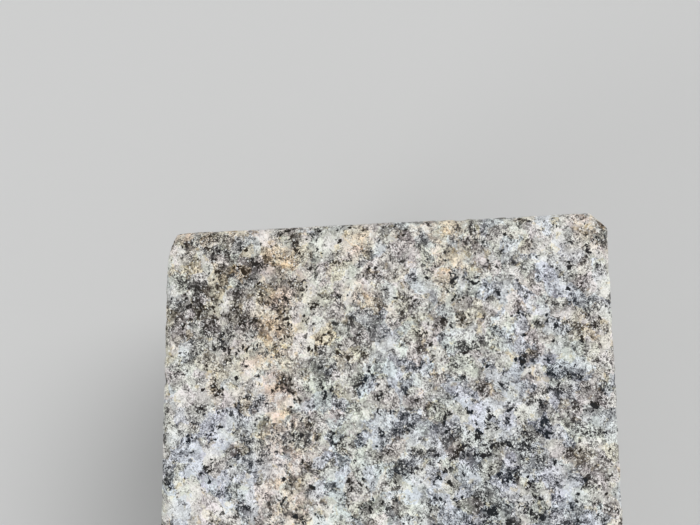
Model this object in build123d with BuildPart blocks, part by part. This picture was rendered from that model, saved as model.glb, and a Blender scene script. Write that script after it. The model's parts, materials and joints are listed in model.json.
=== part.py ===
from build123d import *
import math
import os

# Granite kerb stone, one piece: dressed on top, on the ends and on the upper faces, pitched where it is buried
# The length runs along X, the road face looks to -Y, and the bed lies on Z = 0, all in millimetres

# Overall size
length = 1000.0            # along the road face, the longer of the two long faces
width = 141.5              # across the dressed top
height = 250.0             # from the bed to the top
end_skew = 1.7             # degrees by which the +X end is out of square

# Arris and upright corners, worn soft
top_arris = 4.0            # radius all round the top
plain_corner_wear = 1.0    # how much rounder than that the two upright corners at -X are
worn_corner_wear = 3.5     # and the corner at +X on the footway side
chip_along = 5.5           # corner knocked off at +X on the road side, along the road face
chip_across = 4.5          # and across the end
chip_wear = 0.5            # how much rounder than the top arris both edges of the chip are

# Pitched parts, split off with hammer and pitching tool, from the bed up to the dressed bands
road_rise = 95.0           # height of the pitched part of the road face
back_rise = 150.0          # height of the pitched part of the footway face
end_rise = 100.0           # height of the pitched part of each end
set_back = 4.0             # how far the pitched parts fall back at the bed
facet_depth = 8.0          # how much deeper than that the deepest ridges lie
facet_length = 45.0        # mean distance between ridges along a face
facet_height = 32.0        # and up it
facet_spread = 0.22        # how far a ridge strays from its even place, as a share of those distances
shoulder = 9.0             # half the height of the slope from the pitched part up to the dressed band


def unevenness(step, phase):
    """A value from -1 to 1 that changes from step to step without a visible rhythm."""
    golden_angle = 2.39996
    return math.sin(step * golden_angle + phase)


def waste_outline(rise, step, phase):
    """Section of the waste at one upright ridge, as points (out of the face, up the face) from the foot up."""
    rows = max(1, round(rise / facet_height))
    row_height = (rise - shoulder) / rows
    outline = [(facet_depth, -shoulder)]
    for row in range(rows + 1):
        spot = step * (rows + 1) + row
        up = row_height * row
        if row == 0:
            up -= shoulder
        elif row < rows:
            up += row_height * facet_spread * unevenness(spot, phase)
        hollow = facet_depth * (1 + unevenness(spot, phase + 1)) / 2
        fall = set_back * (1 - up / rise)
        outline.append((-hollow - fall, up))
    outline.append((facet_depth, rise + shoulder * (1 + unevenness(step, phase + 2))))
    return outline


def pitched_waste(face, run, rise, phase):
    """What is split off a face below its dressed band; the face's plane has its origin on the bed, Z out."""
    bays = max(1, round(run / facet_length))
    bay_length = run / bays
    stray = bay_length * facet_spread
    with BuildPart() as waste:
        for step in range(-1, bays + 2):
            along = bay_length * step + stray * unevenness(step, phase) - run / 2
            middle = face.from_local_coords(Vector(along, rise / 2, 0))
            lean = stray * unevenness(step, phase + 3) / (rise / 2)
            ridge = Plane(origin=middle, x_dir=face.z_dir, z_dir=-(face.x_dir + face.y_dir * lean))
            with BuildSketch(ridge):
                with Locations((0, -rise / 2)):
                    Polygon(*waste_outline(rise, step, phase), align=None)
        loft(ruled=True)
    return waste.part


# The +X end runs out of square, so the footway side is the shorter one
skew = math.radians(end_skew)
skew_run = width * math.tan(skew)

# The four upright faces
road_face = Plane(origin=(0, -width / 2, 0), x_dir=(1, 0, 0), z_dir=(0, -1, 0))
back_face = Plane(origin=(0, width / 2, 0), x_dir=(-1, 0, 0), z_dir=(0, 1, 0))
plain_end = Plane(origin=(-length / 2, 0, 0), x_dir=(0, -1, 0), z_dir=(-1, 0, 0))
skewed_end = Plane(
    origin=((length - skew_run) / 2, 0, 0),
    x_dir=(-math.sin(skew), math.cos(skew), 0),
    z_dir=(math.cos(skew), math.sin(skew), 0),
)

# Waste of the four pitched parts, each with its own run of unevenness
wastes = [
    pitched_waste(road_face, length, road_rise, phase=0.3),
    pitched_waste(back_face, length, back_rise, phase=1.9),
    pitched_waste(plain_end, width, end_rise, phase=3.1),
    pitched_waste(skewed_end, width, end_rise, phase=4.4),
]

with BuildPart() as kerb_stone:

    # Plan of the stone, with its four unequal corners
    with BuildSketch() as plan:
        with BuildLine():
            Polyline(
                (-length / 2, -width / 2),
                (length / 2, -width / 2),
                (length / 2 - skew_run, width / 2),
                (-length / 2, width / 2),
                close=True,
            )
        make_face()
        plain_corners = plan.vertices().group_by(Axis.X)[0]
        fillet(plain_corners, top_arris + plain_corner_wear)
        worn_corner = plan.vertices().sort_by_distance((length / 2, width / 2))[0]
        fillet(worn_corner, top_arris + worn_corner_wear)
        knocked_corner = plan.vertices().sort_by_distance((length / 2, -width / 2))[0]
        road_edge = plan.edges().filter_by(Axis.X).sort_by(Axis.Y)[0]
        chamfer(knocked_corner, chip_along, chip_across, reference=road_edge)
        chip_edges = plan.vertices().sort_by_distance((length / 2, -width / 2))[:2]
        fillet(chip_edges, top_arris + chip_wear)
    extrude(amount=height)

    # Worn arris all round the top
    top = kerb_stone.faces().sort_by(Axis.Z)[-1]
    fillet(top.edges(), top_arris)

    # Pitched parts of the four faces, below the dressed bands
    for waste in wastes:
        add(waste, mode=Mode.SUBTRACT)

kerb_stone.part.label = "kerb_stone"

os.makedirs("parts", exist_ok=True)
export_step(kerb_stone.part, "parts/kerb_stone.step")
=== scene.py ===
import json
from itertools import product
from math import exp, log, radians

import bmesh
import bpy
import numpy as np
from mathutils import Matrix, Vector, noise
from mathutils.bvhtree import BVHTree


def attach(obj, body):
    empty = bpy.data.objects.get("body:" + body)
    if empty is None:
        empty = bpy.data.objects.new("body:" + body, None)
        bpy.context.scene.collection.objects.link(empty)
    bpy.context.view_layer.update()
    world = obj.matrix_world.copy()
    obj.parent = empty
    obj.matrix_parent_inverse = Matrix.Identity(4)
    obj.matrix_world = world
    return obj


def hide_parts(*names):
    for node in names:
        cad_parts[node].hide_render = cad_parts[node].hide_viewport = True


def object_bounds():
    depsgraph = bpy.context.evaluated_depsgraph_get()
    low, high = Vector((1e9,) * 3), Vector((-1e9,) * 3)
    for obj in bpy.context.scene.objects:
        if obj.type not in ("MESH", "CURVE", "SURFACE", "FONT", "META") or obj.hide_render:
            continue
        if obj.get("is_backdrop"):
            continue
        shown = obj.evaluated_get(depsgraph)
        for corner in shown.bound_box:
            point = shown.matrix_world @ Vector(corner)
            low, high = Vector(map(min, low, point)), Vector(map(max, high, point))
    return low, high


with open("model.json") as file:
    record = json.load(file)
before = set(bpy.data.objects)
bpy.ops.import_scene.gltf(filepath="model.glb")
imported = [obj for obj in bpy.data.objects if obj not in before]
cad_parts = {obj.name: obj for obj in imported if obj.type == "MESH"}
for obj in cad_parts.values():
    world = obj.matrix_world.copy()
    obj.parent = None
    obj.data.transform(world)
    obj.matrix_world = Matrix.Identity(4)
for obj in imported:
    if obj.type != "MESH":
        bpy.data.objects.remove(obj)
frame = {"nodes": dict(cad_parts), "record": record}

# The granite kerb stone, in metres: a finely divided skin over the solid block, with the relief of its
# dressed and pitched faces, and granite as it looks close to

MM = 0.001
cad_low, cad_high = (Vector(corner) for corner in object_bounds())
block = frame["nodes"]["kerb_stone"]

# The end that is out of square, from the record
skewed_joint = next(mount for mount in frame["record"]["mounts"] if mount["name"] == "skewed_joint")
end_normal = Vector(skewed_joint["axis"])
end_centre = Vector((skewed_joint["pos_m"][0], 0, cad_high.z))


def smooth_step(value, low, high):
    """0 up to the low value and 1 from the high one, with a soft rise between them."""
    share = min(max((value - low) / (high - low), 0), 1)
    return share * share * (3 - 2 * share)


# Camera: close above the far end of the top, as the photograph was taken

PHOTO_WIDTH = 700            # pixels across the photograph
FOCAL_PIXELS = 526           # its focal length, in the same pixels
SENSOR_WIDTH = 36            # of the camera here, in millimetres; the lens follows from it
EYE_HEIGHT = 164.7 * MM      # above the top
EYE_INSET = 28.9 * MM        # back from the middle of the end
EYE_ASIDE = -2.7 * MM        # from the middle line of the top; less than 0 is towards the road
EYE_PITCH = radians(5.4)     # leaning towards the end
EYE_ROLL = radians(4.37)     # leaning towards the footway
EYE_YAW = radians(-0.91)     # turned on the spot


def add_camera():
    """The photograph's view: up in the picture is +X, and right is towards the road."""
    data = bpy.data.cameras.new("photo_camera")
    data.sensor_width = SENSOR_WIDTH
    data.lens = data.sensor_width * FOCAL_PIXELS / PHOTO_WIDTH
    data.clip_start = 10 * MM
    camera = bpy.data.objects.new("photo_camera", data)
    bpy.context.scene.collection.objects.link(camera)
    looking_down = Matrix(((0, 1, 0), (-1, 0, 0), (0, 0, 1)))
    turn = Matrix.Rotation(EYE_YAW, 3, "Z") @ looking_down
    turn = turn @ Matrix.Rotation(EYE_PITCH, 3, "X") @ Matrix.Rotation(EYE_ROLL, 3, "Y")
    eye = end_centre + Vector((-EYE_INSET, EYE_ASIDE, EYE_HEIGHT))
    camera.matrix_world = Matrix.Translation(eye) @ turn.to_4x4()
    bpy.context.scene.camera = camera


# Skin of the stone: a lattice on the block's box, finer where the camera is close, laid onto the solid

COARSE_CELL = 4.5 * MM
FINE_CUTS = 6                # a coarse cell is cut into this many and one more, each way
FINE_REACH = 98 * MM         # the fine part goes this far back from the end
FINE_DEPTH = 9 * MM          # and this far down the faces
ROUNDING = 9 * MM            # zone along the box's edges where the lattice turns the corner
RAY_START = 3                # rays start this many roundings out from the core, clear of the solid
CELL_CORNERS = (0, 0), (1, 0), (1, 1), (0, 1)


def in_fine_part(point):
    """Whether a point lies in the part of the surface that the camera is close to."""
    return point.x > cad_high.x - FINE_REACH and point.z > cad_high.z - FINE_DEPTH


def lattice_steps(low, high):
    """Evenly spaced values from low to high, about a coarse cell apart."""
    return np.linspace(low, high, round((high - low) / COARSE_CELL) + 1)


def box_lattice():
    """The block's box as a bmesh of square cells."""
    steps = [lattice_steps(cad_low[axis], cad_high[axis]) for axis in range(3)]
    mesh = bmesh.new()
    made = {}

    def corner(*index):
        """The vertex at three step numbers, made when it is first asked for."""
        if index not in made:
            made[index] = mesh.verts.new([steps[axis][index[axis]] for axis in range(3)])
        return made[index]

    for axis in range(3):
        one, two = (axis + 1) % 3, (axis + 2) % 3
        sides = 0, len(steps[axis]) - 1
        for side, a, b in product(sides, range(len(steps[one]) - 1), range(len(steps[two]) - 1)):
            ring = []
            for da, db in CELL_CORNERS:
                index = [0, 0, 0]
                index[axis], index[one], index[two] = side, a + da, b + db
                ring.append(corner(*index))
            mesh.faces.new(ring if side else ring[::-1])
    return mesh


def cut_finer(mesh):
    """Cut the cells of the fine part, and leave no face with more than four corners beside them."""
    fine_faces = [face for face in mesh.faces if in_fine_part(face.calc_center_median())]
    edges = dict.fromkeys(edge for face in fine_faces for edge in face.edges)
    bmesh.ops.subdivide_edges(mesh, edges=list(edges), cuts=FINE_CUTS, use_grid_fill=True)
    bmesh.ops.triangulate(mesh, faces=[face for face in mesh.faces if len(face.verts) > 4])


def lay_on_block(mesh, tree):
    """Move the lattice onto the solid; returns each vertex's outward direction."""
    inset = Vector((ROUNDING, ROUNDING, ROUNDING))
    low, high = cad_low + inset, cad_high - inset
    outward = []
    for vertex in mesh.verts:
        core = Vector(min(max(vertex.co[i], low[i]), high[i]) for i in range(3))
        away = (vertex.co - core).normalized()
        start = core + away * ROUNDING * RAY_START
        vertex.co = tree.ray_cast(start, -away)[0]
        outward.append(away)
    return outward


# The two upright corners that the photograph shows: breaks that wear hasn't rounded, each given by what it
# takes off along the end and along the long face

FOOTWAY_BREAKS = ((3.6 * MM, 7.4 * MM), (1.2 * MM, 11 * MM))
ROAD_BREAKS = ((5.0 * MM, 5.1 * MM),)
CORNER_REACH = 13 * MM       # how far from the corner the shape changes
CORNER_FADE = 12 * MM, 60 * MM    # depths below the top between which the breaks run out
CORNER_SOFTNESS = 0.25 * MM  # how soft the borders of the breaks are
CORNER_FALL = 3              # power by which the change falls off from the surface to the pivot
LEAST_SHARE = 0.01           # of a direction, so that nothing is divided by 0


def soft_least(values):
    """About the least of the values, rounded where two are alike."""
    return -CORNER_SOFTNESS * log(sum(exp(-value / CORNER_SOFTNESS) for value in values))


def broken_reach(to_end, to_face, breaks):
    """How far the broken surface is from the pivot, in a direction with these shares to end and face."""
    limits = [CORNER_REACH / max(share, LEAST_SHARE) for share in (to_end, to_face)]
    for off_end, off_face in breaks:
        across = to_face / off_end + to_end / off_face
        room = CORNER_REACH / off_end + CORNER_REACH / off_face - 1
        limits.append(room / across)
    return soft_least(limits)


def corner_change(point, side, breaks, tree):
    """How a point near an upright corner moves, in plan; side is 1 for the footway and -1 for the road."""
    face = cad_high.y if side > 0 else -cad_low.y
    in_end = (end_centre - point).dot(end_normal)
    in_face = face - side * point.y
    fade = 1 - smooth_step(cad_high.z - point.z, *CORNER_FADE)
    away = Vector((CORNER_REACH - in_end, CORNER_REACH - in_face))
    if min(away) <= 0 or fade == 0:
        return Vector()
    reach = away.length
    to_end, to_face = away / reach
    along_end = Vector((0, side, 0)) - end_normal * end_normal.y * side
    outward = (end_normal * to_end + along_end.normalized() * to_face).normalized()
    pivot = point - outward * reach
    # The solid is measured below its worn arris, so the arris keeps its own shape
    pivot.z = cad_high.z - CORNER_FADE[0]
    solid_reach = tree.ray_cast(pivot, outward)[3]
    change = broken_reach(to_end, to_face, breaks) - solid_reach
    return outward * change * (reach / solid_reach) ** CORNER_FALL * fade


def break_corners(mesh, tree):
    """Shape the two upright corners at the end that the photograph shows."""
    for vertex in mesh.verts:
        if (end_centre - vertex.co).dot(end_normal) < CORNER_REACH:
            side, breaks = (1, FOOTWAY_BREAKS) if vertex.co.y > 0 else (-1, ROAD_BREAKS)
            vertex.co += corner_change(vertex.co, side, breaks, tree)


# Relief: how far in from the solid the worn, dressed and split surfaces lie. Each pattern has a depth, and
# a size, which is about the distance from one hump to the next. The numbers in a fractal are how fast its
# finer humps fall off, how much finer each set of them is than the last, and how many sets there are

SWELL = 0.45 * MM, 45 * MM        # slow unevenness of the dressed faces
PITS = 0.22 * MM, 4.2 * MM        # in the dressed faces, where the skin is fine
RIDGES = 3.4 * MM, 24 * MM        # and hollows, over the facets of the pitched parts
SMALL_RIDGES = 1.3 * MM, 11 * MM  # on the same
NICKS = 1.1 * MM, 5.5 * MM        # along the arrises
DENTS = 0.5 * MM, 2.1 * MM        # smaller ones between them
BED = 1.6 * MM, 38 * MM           # unevenness of the underside
NICK_SPAN = 0.3, 0.75             # the noise makes a nick from the first value, full at the second
DENT_SPAN = 0.1, 0.6
RIDGE_GAIN = 1.8                  # brings the noise, which seldom passes 0.55, up to 1
SPLIT_BELOW = 10 * MM             # the pitched parts lie below this depth under the top
SPLIT_SPAN = 0.3 * MM, 2 * MM     # and this far in from the dressed planes: the start, and fully split
HOLLOW_SHADE_SPAN = 1.5 * MM, 13 * MM   # how far in the split faces darken with painted shade
BRUISE_SPAN = 1.2 * MM, 3.4 * MM  # distances from an arris over which its paler bruises fade
WEAR_SPAN = 1 * MM, 6 * MM        # and over which its nicks and dents fade
DOWNWARDS = -0.5                  # the underside is where the outward direction's Z is below this


def plane_depths(point):
    """How far a point is in from the two nearest dressed planes of the stone, leaving out the bed."""
    return sorted((
        cad_high.z - point.z,
        point.x - cad_low.x,
        (end_centre - point).dot(end_normal),
        point.y - cad_low.y,
        cad_high.y - point.y,
    ))[:2]


def split_share(point, nearest):
    """1 where the face was split off, and 0 where it is dressed, which is near the dressed planes."""
    return smooth_step(nearest, *SPLIT_SPAN) if point.z < cad_high.z - SPLIT_BELOW else 0


def swell(point, depth, size):
    """Slow unevenness, from 0 to about the depth."""
    return depth * (0.5 + 0.5 * noise.fractal(point / size, 1.0, 2.1, 2))


def pits(point, depth, size):
    """Fine pits, on average about half as deep as the depth."""
    return depth * (0.5 + 0.8 * noise.fractal(point / size, 0.5, 2.0, 3))


def ridges(point, depth, size, seed):
    """Sharp ridges with rounded hollows between them, as deep as the depth."""
    value = abs(noise.noise(point / size + Vector(seed)))
    return depth * min(value * RIDGE_GAIN, 1)


def chips(point, depth, size, span, seed):
    """Separate hollows where the noise is high, with the surface left as it is between them."""
    return depth * smooth_step(noise.noise(point / size + Vector(seed)), *span)


def relief(point):
    """How far the surface at a point of the solid is to move inwards."""
    nearest, second = plane_depths(point)
    split = split_share(point, nearest)
    amount = swell(point, *SWELL) * (1 - split)
    if in_fine_part(point):
        amount += pits(point, *PITS)
    if split:
        large = ridges(point, *RIDGES, seed=(7, 3, 1))
        small = ridges(point, *SMALL_RIDGES, seed=(4, 6, 2))
        amount += split * (large + small)
    edge = 1 - smooth_step(second, *WEAR_SPAN)
    if edge:
        nick = chips(point, *NICKS, NICK_SPAN, seed=(5, 2, 7))
        dent = chips(point, *DENTS, DENT_SPAN, seed=(3, 8, 1))
        amount += edge * (nick + dent)
    return max(amount, 0)


def bed_rise(point, depth, size):
    """How far the underside is above the ground at a point."""
    humps = noise.fractal(point / size + Vector((1, 5, 8)), 0.8, 2.1, 3)
    return depth * min(max(0.4 + humps, 0), 1)


def roughen(mesh, outward):
    """Press the relief into the skin."""
    for vertex, away in zip(mesh.verts, outward):
        if away.z < DOWNWARDS:
            vertex.co.z += bed_rise(vertex.co, *BED)
        else:
            vertex.co -= away * relief(vertex.co)


def worked_fields(mesh):
    """Where the stone is split, lies far in, which its material darkens as painted shade, or is bruised
    along an arris, for its material.
    """
    depths = [plane_depths(vertex.co) for vertex in mesh.verts]
    return {
        "split": [split_share(vertex.co, nearest) for vertex, (nearest, _) in zip(mesh.verts, depths)],
        "hollow": [smooth_step(nearest, *HOLLOW_SHADE_SPAN) for nearest, _ in depths],
        "bruise": [1 - smooth_step(second, *BRUISE_SPAN) for _, second in depths],
    }


def add_stone():
    """The whole skin, with its relief, its fields and its granite."""
    mesh = box_lattice()
    cut_finer(mesh)
    tree = BVHTree.FromObject(block, bpy.context.evaluated_depsgraph_get())
    outward = lay_on_block(mesh, tree)
    break_corners(mesh, tree)
    worked = worked_fields(mesh)
    roughen(mesh, outward)
    data = bpy.data.meshes.new("granite_skin")
    mesh.to_mesh(data)
    mesh.free()
    data.polygons.foreach_set("use_smooth", [True] * len(data.polygons))
    for name, values in {**worked, **placed_fields(data)}.items():
        data.attributes.new(name, "FLOAT", "POINT").data.foreach_set("value", values)
    data.materials.append(granite())
    stone = bpy.data.objects.new("granite_skin", data)
    bpy.context.scene.collection.objects.link(stone)
    triangles = sum(len(face.vertices) - 2 for face in data.polygons)
    print("skin:", len(data.vertices), "vertices,", triangles, "triangles")
    return stone


# Materials

class Graph:
    """Short calls that add nodes to a material; sizes are in metres, over the object's own coordinates."""

    def __init__(self, name):
        self.material = bpy.data.materials.new(name)
        self.material.use_nodes = True
        self.tree = self.material.node_tree
        self.shader = self.tree.nodes["Principled BSDF"]
        self.place = self.add("ShaderNodeTexCoord").outputs["Object"]

    def feed(self, socket, value):
        """Link a socket to another, or set its value."""
        if isinstance(value, bpy.types.NodeSocket):
            self.tree.links.new(value, socket)
        else:
            socket.default_value = value

    def add(self, kind, inputs=None, **settings):
        node = self.tree.nodes.new(kind)
        for name, value in settings.items():
            setattr(node, name, value)
        for socket, value in (inputs or {}).items():
            self.feed(node.inputs[socket], value)
        return node

    def math(self, operation, *values):
        inputs = dict(enumerate(values))
        return self.add("ShaderNodeMath", inputs, operation=operation).outputs[0]

    def times(self, one, two):
        return self.math("MULTIPLY", one, two)

    def total(self, first, *others):
        """The sum of the values; a negative weight on one of them takes it away."""
        for other in others:
            first = self.math("ADD", first, other)
        return first

    def vector(self, operation, *values):
        inputs = dict(enumerate(values))
        return self.add("ShaderNodeVectorMath", inputs, operation=operation).outputs[0]

    def scaled(self, vector, scale):
        node = self.add("ShaderNodeVectorMath", {0: vector, "Scale": scale}, operation="SCALE")
        return node.outputs[0]

    def moved(self, place, seed):
        """Coordinates shifted by the seed, so that no two patterns follow each other."""
        return self.vector("ADD", place, (0.731 * seed, 0.413 * seed, 0.597 * seed))

    def noise(self, place, size, detail=2.0, rough=0.5, seed=0):
        vector = self.moved(place, seed)
        inputs = {"Vector": vector, "Scale": 1 / size, "Detail": detail, "Roughness": rough}
        return self.add("ShaderNodeTexNoise", inputs)

    def value(self, *args, **keywords):
        """One noise value at each place, mostly within NOISE_SPAN."""
        return self.noise(*args, **keywords).outputs["Fac"]

    def cells(self, place, size, seed=0):
        inputs = {"Vector": self.moved(place, seed), "Scale": 1 / size}
        return self.add("ShaderNodeTexVoronoi", inputs)

    def chances(self, cells):
        """Three random values from 0 to 1 that each cell has."""
        return self.add("ShaderNodeSeparateColor", {0: cells.outputs["Color"]}).outputs

    def span(self, value, low, high, to_low=0.0, to_high=1.0, smooth=True):
        """The values from low to high carried over to those from to_low to to_high, and kept there."""
        inputs = {"Value": value, "From Min": low, "From Max": high, "To Min": to_low, "To Max": to_high}
        kind = "SMOOTHSTEP" if smooth else "LINEAR"
        return self.add("ShaderNodeMapRange", inputs, interpolation_type=kind).outputs["Result"]

    def swing(self, value, weight, low=0, high=1):
        """The values from low to high carried over to a range about 0 that is as broad as the weight."""
        return self.span(value, low, high, -weight / 2, weight / 2, smooth=False)

    def mix(self, share, one, two, blend="MIX"):
        inputs = {0: share, 6: one, 7: two}
        return self.add("ShaderNodeMix", inputs, data_type="RGBA", blend_type=blend).outputs[2]

    def tinted(self, colour, tint):
        return self.mix(1.0, colour, tint, "MULTIPLY")

    def ramp(self, value, stops):
        node = self.add("ShaderNodeValToRGB", {0: value})
        elements = node.color_ramp.elements
        while len(elements) < len(stops):
            elements.new(0.5)
        for element, (spot, rgb) in zip(elements, stops):
            element.position = spot
            element.color = (*rgb, 1)
        return node.outputs["Color"]

    def attribute(self, name):
        return self.add("ShaderNodeAttribute", attribute_name=name).outputs["Fac"]

    def wander(self, start, size, reach, detail, seed=0):
        """Coordinates moved a little, by amounts that change over the size, so that borders wander."""
        shift = self.noise(self.place, size, detail, rough=0.65, seed=seed).outputs["Color"]
        shift = self.vector("SUBTRACT", shift, (0.5, 0.5, 0.5))
        return self.vector("ADD", start, self.scaled(shift, reach))

    def streaked(self, near, far, size, length, seed):
        """Coordinates that draw a pattern out, one way within each crystal and another way in the next."""
        cell = self.cells(far, size, seed).outputs["Color"]
        direction = self.vector("NORMALIZE", self.vector("SUBTRACT", cell, (0.5, 0.5, 0.5)))
        along = self.add("ShaderNodeVectorMath", {0: near, 1: direction}, operation="DOT_PRODUCT")
        shortened = self.times(along.outputs["Value"], 1 - 1 / length)
        return self.vector("SUBTRACT", near, self.scaled(direction, shortened))


# Granite. Its tones, from mica through quartz to feldspar: place on the ramp, then colour
GRANITE_TONES = (
    (0.00, (0.006, 0.006, 0.007)),
    (0.14, (0.028, 0.027, 0.029)),
    (0.30, (0.117, 0.113, 0.115)),
    (0.47, (0.315, 0.309, 0.307)),
    (0.61, (0.520, 0.518, 0.508)),
    (0.78, (0.670, 0.671, 0.660)),
    (1.00, (0.850, 0.850, 0.840)),
)

# Tints of its crystals, from bluish through greenish and pinkish to cream and tan: place, then factor
CRYSTAL_TINTS = (
    (0.00, (0.950, 0.988, 1.070)),
    (0.22, (0.968, 1.004, 1.015)),
    (0.40, (1.000, 1.008, 0.918)),
    (0.55, (1.030, 0.983, 0.968)),
    (0.72, (1.024, 0.992, 0.870)),
    (0.88, (1.048, 0.977, 0.820)),
    (1.00, (1.080, 0.951, 0.745)),
)
GREENISH = (0.972, 1.012, 0.985, 1)
VIOLET = (1.018, 0.987, 1.028, 1)
RUSTY = (1.10, 0.93, 0.79, 1)
AMBER = (0.95, 0.86, 0.68, 1)

# Colours of mica and of the painted glints, and what dust adds to every grain
MICA = (0.004, 0.004, 0.005, 1)
PAINTED_GLINT = (0.92, 0.92, 0.90, 1)
WARM_DUST = (0.021, 0.012, 0.002, 1)
COOL_DUST = (0.001, 0.005, 0.009, 1)

# Grains, slow changes, grit and fibres: breadth, and how far their tones differ
LARGE_GRAINS = ((3.2 * MM, 0.33), (6.5 * MM, 0.26), (12 * MM, 0.14))
SMALL_GRAINS = ((0.6 * MM, 0.28), (1.1 * MM, 0.26), (1.9 * MM, 0.30))
SLOW_CHANGE = 28 * MM, 0.10
GRIT_SIZE = 0.4 * MM
GRIT_TONE = 0.30
FIBRES = 0.30 * MM, 0.54     # that cleavage leaves on feldspar
FIBRE_LENGTH = 3.5           # in breadths
FIBRE_CRYSTAL = 3.4 * MM     # fibres run one way over this distance
LIVELY_CRYSTAL = 2.6 * MM    # breadth of the crystals that differ in how much their small grains show
LIVELY_SPAN = 0.3, 1.6       # from the quietest crystal to the liveliest
DARK_GROUND = -0.2, 1.08     # small grains show this much on dark ground
PALE_GROUND = 0.22, 0.86     # and this much on pale ground

# Borders wander twice: the size of the waves, and the range that noise from 0 to 1 moves them over
SHAKE = 0.9 * MM, 1.1 * MM
DRIFT = 5 * MM, 7 * MM

# Tones: of the whole, and what each field adds to it
MEAN_TONE = 0.558
SHADE_TONE = -0.075
SPLIT_TONE = -0.03
# painted shade: the split faces darker the further they lie in
PAINTED_HOLLOW_SHADE = -0.13
BRUISE_TONE = 0.05
NEST_TONE = -0.12

# Mica: its nests, where quartz is darker too, and its flakes
NEST_SIZE = 4.2 * MM
NEST_SPAN = 0.49, 0.66       # noise from the border of a nest to its middle
CROWD_SPAN = 0.54, 0.70      # the same for the share of the flakes that are mica
CROWD_RANGE = 0.014, 0.24    # and that share, outside the nests and in the middle of one
PLACED_CROWD = 0.24          # what a placed cluster adds to it
NEST_SHADE = 0.05            # how much more easily nests form in the placed shade
NEST_SHADE_LIMIT = 0.2       # shade above this counts for no more
FLAKES = ((0.65 * MM, 0.5), (1.2 * MM, 1.4))    # breadth, and a factor on that share
FLAKE_LENGTH = 1.9           # in breadths
FLAKE_BORDER = 0.02          # how soft the borders of the flakes are
FLAKE_CRYSTAL = 2.4 * MM     # flakes lie one way over this distance

# Hues, rust, specks and painted glints: breadth, and the values between which they come in
HUE_CRYSTAL = 5.5 * MM, 0.66      # the second is how much of the ramp of tints they use
HUE_PATCH = 11 * MM, 0.22         # the same
CAST_CRYSTAL = 6 * MM
CAST_SPAN = 0.1, 0.9              # from the greenest crystal to the most violet
RUST_SIZE = 4 * MM
RUST_SPAN = 0.30, 0.55
SPECK_SIZE = 3.0 * MM
SPECK_SPAN = 0.63, 0.71
SPECK_STRENGTH = 0.85
GLINT_SIZE = 0.42 * MM
GLINT_SPAN = 0.925, 0.95
GLINT_STRENGTH = 0.6
GLINT_IN_NEST = -0.03             # painted glints are fewer in the nests

# Finest relief, as bumps: crumbs everywhere, and broken facets on the split faces
CRUMB_SIZE = 1.1 * MM
CRUMB_GRIT = 0.6             # how much the grit adds to the crumbs
CRUMB_HEIGHT = 0.30 * MM
FACET_SIZE = 5 * MM
FACET_SLOPE = 0.7            # how much they add to the waves over them
WAVE_SIZE = 7 * MM
FACET_HEIGHT = 2.2 * MM

GRANITE_ROUGHNESS = 0.55, 0.8
GRANITE_SPECULAR = 0.2
NOISE_SPAN = 0.3, 0.7        # the values of a noise texture lie mostly between these


def ground_tone(graph, far):
    """Large crystals, slow changes and the placed shade give each place its ground tone."""
    tones = [graph.times(graph.attribute("shade"), SHADE_TONE)]
    for number, (size, weight) in enumerate(LARGE_GRAINS):
        chance = graph.chances(graph.cells(far, size, seed=number))[0]
        tones.append(graph.swing(chance, weight))
    size, weight = SLOW_CHANGE
    slow = graph.value(graph.place, size, detail=1, rough=0.5, seed=21)
    tones.append(graph.swing(slow, weight, *NOISE_SPAN))
    return graph.total(*tones)


def mica_nests(graph, near):
    """Nests where mica gathers with grey quartz around it, and the share of mica among the flakes."""
    mica = graph.attribute("mica")
    shade = graph.math("MINIMUM", graph.attribute("shade"), NEST_SHADE_LIMIT)
    cluster = graph.value(near, NEST_SIZE, detail=2, rough=0.55, seed=9)
    cluster = graph.total(cluster, graph.times(shade, NEST_SHADE))
    nest = graph.total(graph.span(cluster, *NEST_SPAN), mica)
    crowd = graph.total(graph.span(cluster, *CROWD_SPAN, *CROWD_RANGE), graph.times(mica, PLACED_CROWD))
    return nest, crowd


def small_grains(graph, near, far, grit):
    """Small grains, grit and the fibres of cleavage, about 0."""
    tones = []
    for number, (size, weight) in enumerate(SMALL_GRAINS):
        chance = graph.chances(graph.cells(near, size, seed=5 + number))[0]
        tones.append(graph.swing(chance, weight))
    tones.append(graph.swing(grit, GRIT_TONE, *NOISE_SPAN))
    size, weight = FIBRES
    drawn_out = graph.streaked(near, far, FIBRE_CRYSTAL, FIBRE_LENGTH, seed=27)
    fibres = graph.value(drawn_out, size, detail=1, rough=0.6, seed=29)
    tones.append(graph.swing(fibres, weight, *NOISE_SPAN))
    return graph.total(*tones)


def liveliness(graph, far, ground):
    """How much the small grains show: more where the ground is dark, and in some crystals."""
    dark, on_dark = DARK_GROUND
    pale, on_pale = PALE_GROUND
    lively = graph.chances(graph.cells(far, LIVELY_CRYSTAL, seed=31))[1]
    lively = graph.span(lively, 0, 1, *LIVELY_SPAN, smooth=False)
    return graph.times(graph.span(ground, dark, pale, on_dark, on_pale), lively)


def crystal_hue(graph, far):
    """Each crystal's place on the ramp of tints, by chance, by slow patches and by the placed warmth."""
    size, weight = HUE_CRYSTAL
    own = graph.times(graph.chances(graph.cells(far, size, seed=11))[0], weight)
    size, weight = HUE_PATCH
    patches = graph.value(graph.place, size, detail=1, rough=0.5, seed=41)
    return graph.total(own, graph.span(patches, *NOISE_SPAN, 0, weight), graph.attribute("warmth"))


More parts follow.
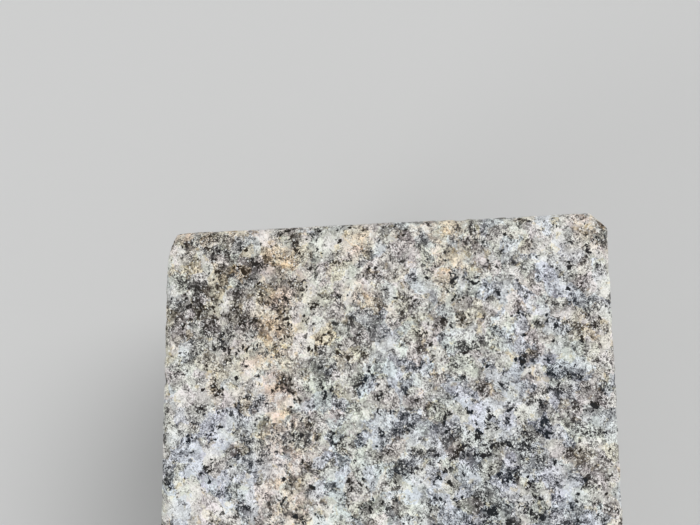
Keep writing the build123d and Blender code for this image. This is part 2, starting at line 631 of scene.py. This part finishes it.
def with_hues(graph, far, colour, hue):
    """The colour with the tints of its crystals, and with rusty stains."""
    colour = graph.tinted(colour, graph.ramp(hue, CRYSTAL_TINTS))
    cast = graph.chances(graph.cells(far, CAST_CRYSTAL, seed=43))[0]
    cast = graph.total(graph.span(cast, 0, 1, *CAST_SPAN, smooth=False), graph.attribute("cast"))
    colour = graph.tinted(colour, graph.mix(cast, GREENISH, VIOLET))
    rust = graph.span(graph.value(far, RUST_SIZE, detail=2, rough=0.6, seed=13), *RUST_SPAN)
    return graph.mix(graph.times(graph.attribute("stain"), rust), colour, graph.tinted(colour, RUSTY))


def with_specks(graph, far, colour):
    """The colour with amber specks of iron."""
    speck = graph.value(far, SPECK_SIZE, detail=1, rough=0.5, seed=37)
    speck = graph.span(speck, *SPECK_SPAN, 0, SPECK_STRENGTH)
    return graph.mix(speck, colour, graph.tinted(colour, AMBER))


def with_mica(graph, near, far, colour, crowd):
    """The colour with black flakes, as many as the crowd asks for."""
    drawn_out = graph.streaked(near, far, FLAKE_CRYSTAL, FLAKE_LENGTH, seed=33)
    for number, (size, share) in enumerate(FLAKES):
        chance = graph.chances(graph.cells(drawn_out, size, seed=14 + number))[0]
        excess = graph.math("SUBTRACT", graph.times(crowd, share), chance)
        colour = graph.mix(graph.span(excess, -FLAKE_BORDER, FLAKE_BORDER), colour, MICA)
    return colour


def with_painted_glints(graph, near, colour, nest):
    """The colour with painted glints: pale specks where faces of feldspar would catch the light."""
    chance = graph.chances(graph.cells(near, GLINT_SIZE, seed=23))[0]
    chance = graph.total(chance, graph.times(nest, GLINT_IN_NEST))
    return graph.mix(graph.span(chance, *GLINT_SPAN, 0, GLINT_STRENGTH), colour, PAINTED_GLINT)


def finest_relief(graph, far, grit, split):
    """Tiny pits and grains that stand proud everywhere, and broken facets where the stone was split."""
    crumbs = graph.value(graph.place, CRUMB_SIZE, detail=2, rough=0.6, seed=17)
    crumbs = graph.total(graph.times(grit, CRUMB_GRIT), crumbs)
    inputs = {"Height": crumbs, "Distance": CRUMB_HEIGHT, "Strength": 1.0}
    crumbled = graph.add("ShaderNodeBump", inputs).outputs["Normal"]
    facets = graph.times(graph.cells(far, FACET_SIZE, seed=30).outputs["Distance"], FACET_SLOPE)
    facets = graph.total(facets, graph.value(graph.place, WAVE_SIZE, detail=4, rough=0.65, seed=19))
    inputs = {"Height": graph.times(facets, split), "Distance": FACET_HEIGHT, "Normal": crumbled}
    return graph.add("ShaderNodeBump", inputs).outputs["Normal"]


def granite():
    """Grey granite of feldspar, quartz and mica, weathered and a little dusty, with painted shade where
    its split faces lie far in and with painted glints.
    """
    graph = Graph("granite")
    near = graph.wander(graph.place, *SHAKE, detail=2)
    far = graph.wander(near, *DRIFT, detail=3, seed=3)
    split = graph.attribute("split")
    grit = graph.value(graph.place, GRIT_SIZE, detail=1, rough=0.7, seed=7)
    ground = ground_tone(graph, far)
    nest, crowd = mica_nests(graph, near)
    tone = graph.total(
        ground,
        MEAN_TONE,
        graph.times(split, SPLIT_TONE),
        # painted shade, darker the further in the split faces lie
        graph.times(graph.attribute("hollow"), PAINTED_HOLLOW_SHADE),
        graph.times(graph.attribute("bruise"), BRUISE_TONE),
        graph.times(nest, NEST_TONE),
        graph.times(small_grains(graph, near, far, grit), liveliness(graph, far, ground)),
    )
    hue = crystal_hue(graph, far)
    colour = with_hues(graph, far, graph.ramp(tone, GRANITE_TONES), hue)
    colour = with_specks(graph, far, colour)
    colour = with_mica(graph, near, far, colour, crowd)
    colour = graph.mix(1.0, colour, graph.mix(hue, COOL_DUST, WARM_DUST), "ADD")
    # painted highlights: glints of feldspar painted into the base colour
    colour = with_painted_glints(graph, near, colour, nest)
    graph.feed(graph.shader.inputs["Base Color"], colour)
    graph.feed(graph.shader.inputs["Roughness"], graph.span(grit, *NOISE_SPAN, *GRANITE_ROUGHNESS))
    graph.feed(graph.shader.inputs["Normal"], finest_relief(graph, far, grit, split))
    graph.shader.inputs["Specular IOR Level"].default_value = GRANITE_SPECULAR
    return graph.material


# Where the photograph shows the granite darker, paler, rusty or rich in mica: inset from the end and
# distance from the middle line towards the footway, then radius, in millimetres

DARK_SPOTS = (
    (30, 55, 12), (20, 45, 8), (76, 46, 5), (77, 64, 4), (62, 10, 9), (85, 8, 9), (39, -31, 5),
    (53, -28, 8), (60, -47, 6), (67, -27, 6), (76, -42, 5), (55, -63, 5), (88, -36, 5),
)
PALE_SPOTS = (
    (53, 60, 8), (66, 53, 6), (84, 58, 9), (90, 67, 6), (8, 14, 6), (5, -52, 8), (22, -58, 6), (4, -67, 7),
    (33, -66, 7), (43, -63, 7), (32, -39, 5), (72, -52, 7), (84, -56, 8), (46, -26, 4), (48, 31, 5),
    (58, 33, 5), (66, 25, 6), (76, 31, 5), (86, 30, 5), (75, -9, 4), (86, -27, 4), (76, -34, 4),
)
RUSTY_SPOTS = (
    (12, 31, 7), (24, 33, 6), (34, 35, 7), (43, 37, 8), (53, 34, 6), (62, 32, 6), (71, 31, 7), (80, 31, 6),
    (89, 29, 7), (8, 6, 5), (24, 7, 5), (2, -20, 8), (14, -22, 7), (3, -66, 6), (1, 62, 8),
)

# Clusters of mica, which are all of one radius, in millimetres
MICA_SPOTS = (
    (4, 29), (20, 25), (31, 30), (31, 24), (28, 59), (38, 51), (40, 22), (51, 30), (53, 52), (54, 19),
    (64, 53), (67, 26), (77, 55), (80, 6), (86, 31), (31, -25), (30, -43), (33, -48), (40, -27), (44, -42),
    (62, -33), (64, -49), (66, -28), (73, -28), (78, -37), (92, -39),
)
MICA_RADIUS = 1.8

# Broad areas that are a little dimmer, brighter, warmer, cooler or of another cast, in the same units as
# the spots, and how strong they are
DIM_AREAS = ((75, -42, 32), (18, 50, 22))
BRIGHT_AREAS = ((76, 50, 34), (30, -50, 20))
BROAD_SHADE = 0.45           # beside the spots above
WARM_AREAS = ((20, 42, 32), (58, 34, 12), (38, -65, 11), (32, -32, 8), (76, -62, 9))
COOL_AREAS = ((80, -40, 45), (70, 8, 18), (30, -45, 20), (72, 58, 18))
WARMTH_RANGE = 0.26          # on the ramp of the crystals' tints
VIOLET_AREAS = ((68, 54, 20), (60, -44, 16), (15, -52, 18))
GREEN_AREAS = ((45, 12, 16), (78, 8, 18))
CAST_RANGE = 0.25            # between greenish, which is 0, and violet, which is 1

# The rest of the stone has the same kinds of patches, at random
PATCH_SIZE = 55 * MM
PATCH_FADE = 40 * MM         # they come in over this distance
RUST_FROM = 0.6              # patches stronger than this are rusty too
PATCH_STAIN = 0.5            # how rusty they are at most
PATCH_WARMTH = 0.30          # and how warm or cool, beside the areas that the photograph shows


def spots_field(places, spots):
    """How strongly each place lies in any of the spots, from 0 to 1."""
    inset = (end_centre.x - places[:, 0]) / MM
    aside = places[:, 1] / MM
    on_top = places[:, 2] > cad_high.z - FINE_DEPTH
    strongest = np.zeros(len(places))
    for spot_inset, spot_aside, radius in spots:
        distance = np.hypot(inset - spot_inset, aside - spot_aside)
        strongest = np.maximum(strongest, np.exp(-(distance / radius) ** 2))
    return strongest * on_top


def random_patches(places):
    """Soft patches from about -1 to 1 outside the part that the photograph shows, and 0 inside it."""
    values = np.array([noise.noise(Vector(place) / PATCH_SIZE + Vector((9, 4, 6))) for place in places])
    beyond = end_centre.x - places[:, 0] - FINE_REACH
    below = cad_high.z - FINE_DEPTH - places[:, 2]
    share = np.clip(np.maximum(beyond, below) / PATCH_FADE, 0, 1)
    return values * 2 * share


def placed_fields(data):
    """The placed shades, stains, hues and clusters of mica at each vertex, for the material."""
    places = np.empty(len(data.vertices) * 3)
    data.vertices.foreach_get("co", places)
    places = places.reshape(-1, 3)

    def between(more, less):
        """From 1 in the middle of the first spots to -1 in the middle of the second."""
        return spots_field(places, more) - spots_field(places, less)

    clusters = [(inset, aside, MICA_RADIUS) for inset, aside in MICA_SPOTS]
    patches = random_patches(places)
    rusty_patches = np.clip((patches - RUST_FROM) * 2, 0, 1)
    return {
        "shade": between(DARK_SPOTS, PALE_SPOTS) + BROAD_SHADE * between(DIM_AREAS, BRIGHT_AREAS),
        "stain": spots_field(places, RUSTY_SPOTS) + PATCH_STAIN * rusty_patches,
        "warmth": WARMTH_RANGE * (between(WARM_AREAS, COOL_AREAS) + PATCH_WARMTH * patches),
        "cast": CAST_RANGE * between(VIOLET_AREAS, GREEN_AREAS),
        "mica": spots_field(places, clusters),
    }


# Stage: a pale floor and soft studio light

FLOOR_RADIUS = 30.0
FLOOR_COLOUR = (0.57, 0.57, 0.565, 1)
FLOOR_ROUGHNESS = 0.85
SKY_COLOUR = (0.98, 0.99, 1.0, 1)
SKY_STRENGTH = 0.61
# The direction each light comes from, its strength, and its breadth in the sky
SOFT_LIGHT = (0.45, -0.75, 1.0), 1.7, radians(28)
WEAK_LIGHT = (-0.7, 0.8, 0.55), 0.5, radians(35)


def add_sun(name, source, strength, spread):
    data = bpy.data.lights.new(name, "SUN")
    data.angle = spread
    data.energy = strength
    light = bpy.data.objects.new(name, data)
    bpy.context.scene.collection.objects.link(light)
    light.rotation_euler = Vector(source).to_track_quat("Z", "Y").to_euler()


def add_floor():
    mesh = bmesh.new()
    bmesh.ops.create_circle(mesh, cap_ends=True, segments=96, radius=FLOOR_RADIUS)
    data = bpy.data.meshes.new("floor")
    mesh.to_mesh(data)
    mesh.free()
    graph = Graph("floor_paint")
    graph.shader.inputs["Base Color"].default_value = FLOOR_COLOUR
    graph.shader.inputs["Roughness"].default_value = FLOOR_ROUGHNESS
    data.materials.append(graph.material)
    floor = bpy.data.objects.new("floor", data)
    bpy.context.scene.collection.objects.link(floor)
    floor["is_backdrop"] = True


def add_stage():
    """Pale floor, white surroundings, a soft light from the road side and a weak one from the other."""
    world = bpy.data.worlds.new("studio")
    world.use_nodes = True
    surroundings = world.node_tree.nodes["Background"]
    surroundings.inputs["Color"].default_value = SKY_COLOUR
    surroundings.inputs["Strength"].default_value = SKY_STRENGTH
    bpy.context.scene.world = world
    bpy.context.scene.view_settings.view_transform = "Standard"
    add_floor()
    add_sun("soft_light", *SOFT_LIGHT)
    add_sun("weak_light", *WEAK_LIGHT)


add_camera()
add_stage()
stone = add_stone()
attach(stone, "root")
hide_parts("kerb_stone")
